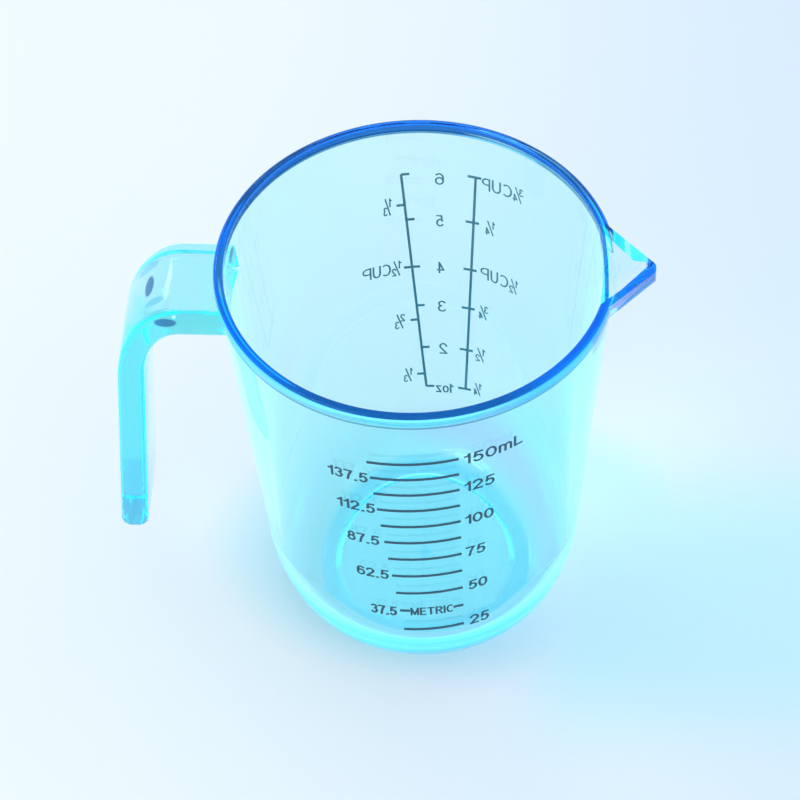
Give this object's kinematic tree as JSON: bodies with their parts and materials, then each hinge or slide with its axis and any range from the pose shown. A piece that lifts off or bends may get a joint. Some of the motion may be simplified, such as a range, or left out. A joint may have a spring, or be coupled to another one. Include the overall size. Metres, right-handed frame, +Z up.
{
  "type": "measuring cup",
  "caption": "Small transparent tinted plastic measuring cup with a pouring spout, a hook handle and two printed volume scales.",
  "frame": {"origin": "on the table under the middle of the outline, so halfway between the handle's and the spout's furthest points", "axes": "+X towards the spout, -X towards the handle, -Y the side with the metric scale, +Z up"},
  "size_m": [0.092, 0.066, 0.0796],
  "materials": {
    "tinted_plastic": "clear glossy moulding, tinted cyan blue, darker blue along its edges",
    "print_ink": "dark navy screen print"
  },
  "bodies": {
    "root": {"cup_body": "tinted_plastic", "handle": "tinted_plastic", "metric_line_25": "print_ink", "metric_dash_left": "print_ink", "metric_dash_right": "print_ink", "metric_line_50": "print_ink", "metric_line_62_5": "print_ink", "metric_line_75": "print_ink", "metric_line_87_5": "print_ink", "metric_line_100": "print_ink", "metric_line_112_5": "print_ink", "metric_line_125": "print_ink", "metric_line_137_5": "print_ink", "metric_line_150": "print_ink", "thirds_scale": "print_ink", "quarters_scale": "print_ink"}
  },
  "joints": []
}
